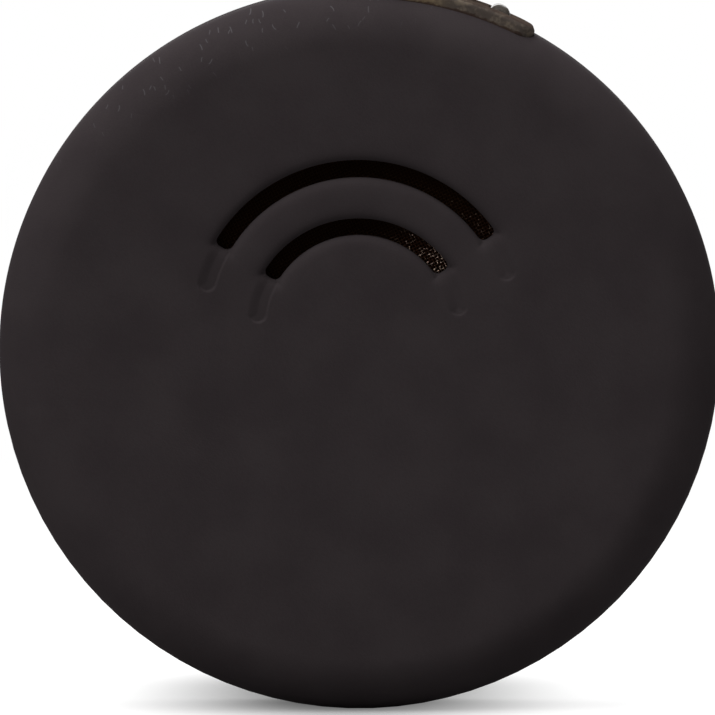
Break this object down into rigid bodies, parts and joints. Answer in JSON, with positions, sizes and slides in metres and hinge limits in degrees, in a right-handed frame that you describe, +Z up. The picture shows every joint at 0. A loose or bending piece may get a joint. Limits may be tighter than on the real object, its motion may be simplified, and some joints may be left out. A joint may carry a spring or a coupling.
{
  "type": "bluetooth tracker",
  "caption": "Round key finder in a matte black two-part case, with curved speaker slots, a metal key loop, a push button and a screw-in battery cover.",
  "frame": {"origin": "floor point under the middle of the disc, at half its thickness", "axes": "+Z up, along the middle of the speaker slots; the slotted front face looks towards -Y"},
  "size_m": [0.03, 0.0068, 0.0331],
  "materials": {
    "shell_black": "fine soft-touch texture",
    "cover_black": "fine soft-touch texture",
    "bracket_bronze": "dark aged bronze plating",
    "pin_steel": "bright",
    "button_bronze": "dark bronze, glossy",
    "seal_rubber": "satin",
    "pad_foam": "open-cell foam",
    "mesh_bronze": "woven bronze wire",
    "frame_plastic": "moulded",
    "board_green": "solder mask",
    "chip_black": "moulded",
    "ferrite": "dull",
    "crystal_steel": "plated lid",
    "antenna_ceramic": "dull",
    "capacitor_ceramic": "dull",
    "resistor_black": "glazed",
    "screw_steel": "zinc plated",
    "piezo_brass": "rolled",
    "piezo_white": "silvered",
    "contact_gold": "gold plated",
    "switch_plastic": "moulded",
    "plunger_plastic": "moulded",
    "cell_steel": "rolled stainless",
    "cell_plastic": "moulded",
    "contact_steel": "plated spring steel"
  },
  "bodies": {
    "case": {"front_shell": "shell_black", "back_shell": "shell_black", "key_loop": "bracket_bronze", "inner_frame": "frame_plastic", "circuit_board": "board_green", "radio_chip": "chip_black", "crystal": "crystal_steel", "chip_antenna": "antenna_ceramic", "power_inductor": "ferrite", "chip_capacitors": "capacitor_ceramic", "chip_resistors": "resistor_black", "board_screws": "screw_steel", "speaker_mesh": "mesh_bronze", "mesh_gasket": "pad_foam", "piezo_plate": "piezo_brass", "piezo_ceramic": "piezo_white", "piezo_ring": "frame_plastic", "piezo_contacts": "contact_gold", "tact_switch": "switch_plastic", "loop_pin": "pin_steel", "cell_can": "cell_steel", "cell_cap": "cell_steel", "cell_seal": "cell_plastic", "negative_contact": "contact_steel", "positive_contact": "contact_steel"},
    "side_button": {"side_button": "button_bronze", "button_seal": "seal_rubber"},
    "switch_plunger": {"switch_plunger": "plunger_plastic"},
    "cover_seal": {"cover_o_ring": "seal_rubber"},
    "battery_cover": {"battery_cover": "cover_black", "cover_pad": "pad_foam"}
  },
  "joints": [
    {"name": "button_press", "type": "slide", "parent": "case", "child": "side_button", "axis": [-0.4195, 0, -0.9078], "range_m": [0, 0.0002], "stiffness_N_per_m": 5000},
    {"name": "plunger_travel", "type": "slide", "parent": "case", "child": "switch_plunger", "axis": [-0.4195, 0, -0.9078], "range_m": [0, 0.0002]},
    {"name": "cover_lift", "type": "slide", "parent": "case", "child": "cover_seal", "axis": [0, 1, 0], "range_m": [0, 0.0012]},
    {"name": "cover_turn", "type": "hinge", "parent": "cover_seal", "child": "battery_cover", "pos_m": [0, 0, 0.015], "axis": [0, 1, 0], "range_deg": [0, 120]}
  ],
  "couplings": [
    {"joint": "plunger_travel", "follows": "button_press", "ratio": 1},
    {"joint": "cover_turn", "follows": "cover_lift", "rad_per_m": 1745.3}
  ]
}
